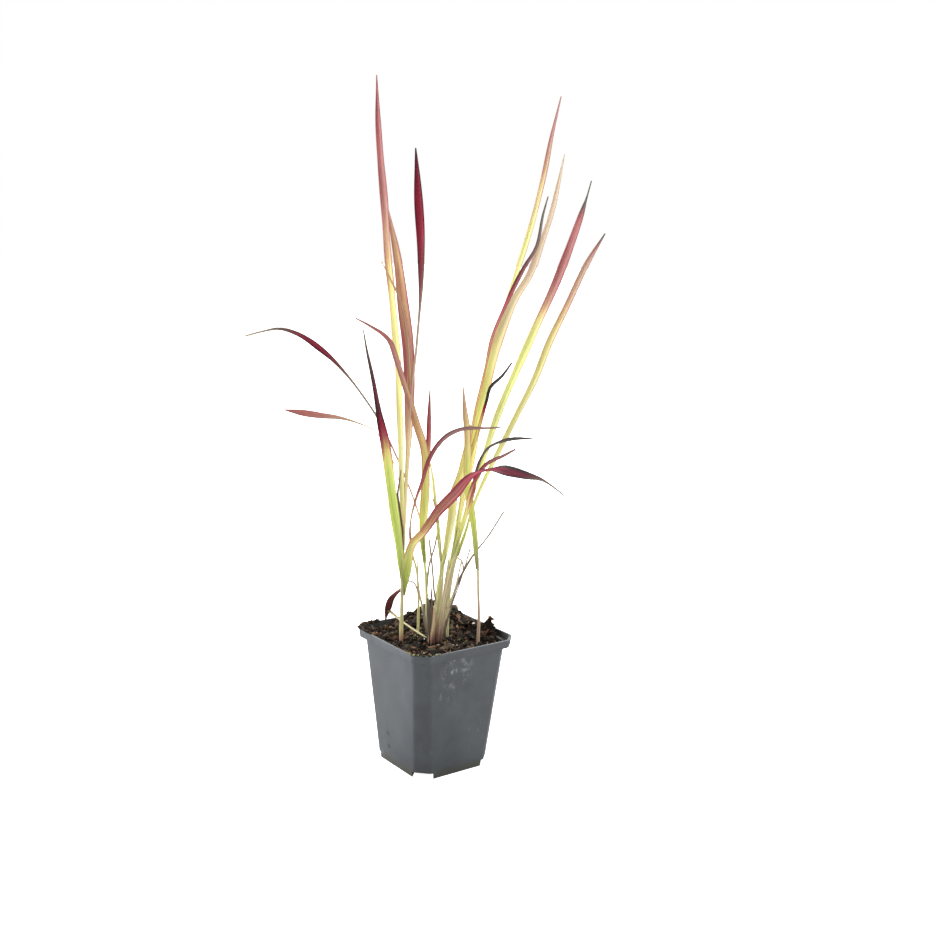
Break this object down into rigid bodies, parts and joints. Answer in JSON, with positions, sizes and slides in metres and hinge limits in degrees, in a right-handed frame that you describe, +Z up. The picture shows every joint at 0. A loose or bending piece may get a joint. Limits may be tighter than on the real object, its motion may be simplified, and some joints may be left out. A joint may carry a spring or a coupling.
{
  "type": "japanese blood grass in a nursery pot",
  "caption": "Red-tipped ornamental grass with upright and arching blades, growing from dark soil in a square tapered plastic nursery pot.",
  "frame": {"origin": "centre of the pot's base, on the ground", "axes": "+Z up; X and Y run along the pot's sides; the front view in the picture looks from azimuth -35.1 degrees, corner-on to the pot"},
  "size_m": [0.2343, 0.2634, 0.5041],
  "materials": {
    "pot": "satin, thin polypropylene",
    "soil": "rough bark and peat",
    "leaf": "satin leaf, green to crimson",
    "straw": "dry straw"
  },
  "bodies": {
    "root": {"pot": "pot", "soil": "soil", "left_tiller": "leaf", "front_tiller": "leaf", "middle_tiller": "leaf", "centre_tiller": "leaf", "rear_tiller": "leaf", "tall_tiller": "leaf", "broad_tiller": "leaf", "slim_tiller": "leaf", "right_tiller": "leaf", "dry_culm": "straw", "dry_stub_left": "straw", "dry_stub_right": "straw", "fallen_straw": "straw"}
  },
  "joints": []
}
